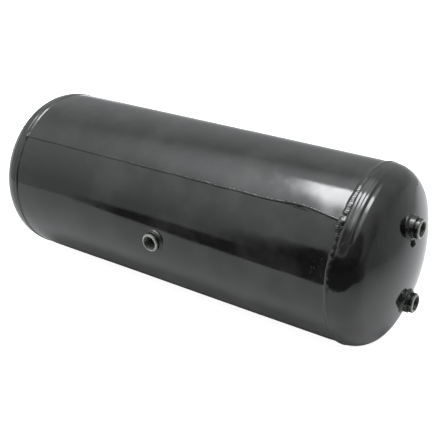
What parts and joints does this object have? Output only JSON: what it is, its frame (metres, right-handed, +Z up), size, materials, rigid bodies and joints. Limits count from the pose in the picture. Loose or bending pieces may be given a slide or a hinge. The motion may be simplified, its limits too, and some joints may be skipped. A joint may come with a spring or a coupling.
{
  "type": "compressed-air reservoir",
  "caption": "Black welded steel cylinder with dished ends, a long seam and round threaded ports, holding compressed air for vehicle brakes or tools.",
  "frame": {"origin": "on the tank's axis, halfway along the shell", "axes": "+X along the tank axis towards the end with two ports, -Y out of the drain port in the shell's side, +Z up as the tank lies on the ground"},
  "size_m": [0.739, 0.2865, 0.279],
  "materials": {
    "shell_paint": "gloss black paint",
    "head_paint": "gloss black paint",
    "weld_paint": "gloss black paint over a rippled bead",
    "boss_paint": "gloss black paint over turned steel"
  },
  "bodies": {
    "root": {"shell": "shell_paint", "plain_head": "head_paint", "ported_head": "head_paint", "shell_seam_weld": "weld_paint", "plain_end_girth_weld": "weld_paint", "ported_end_girth_weld": "weld_paint", "upper_port_boss": "boss_paint", "lower_port_boss": "boss_paint", "drain_port_boss": "boss_paint", "upper_port_weld": "weld_paint", "lower_port_weld": "weld_paint", "drain_port_weld": "weld_paint"}
  },
  "joints": []
}
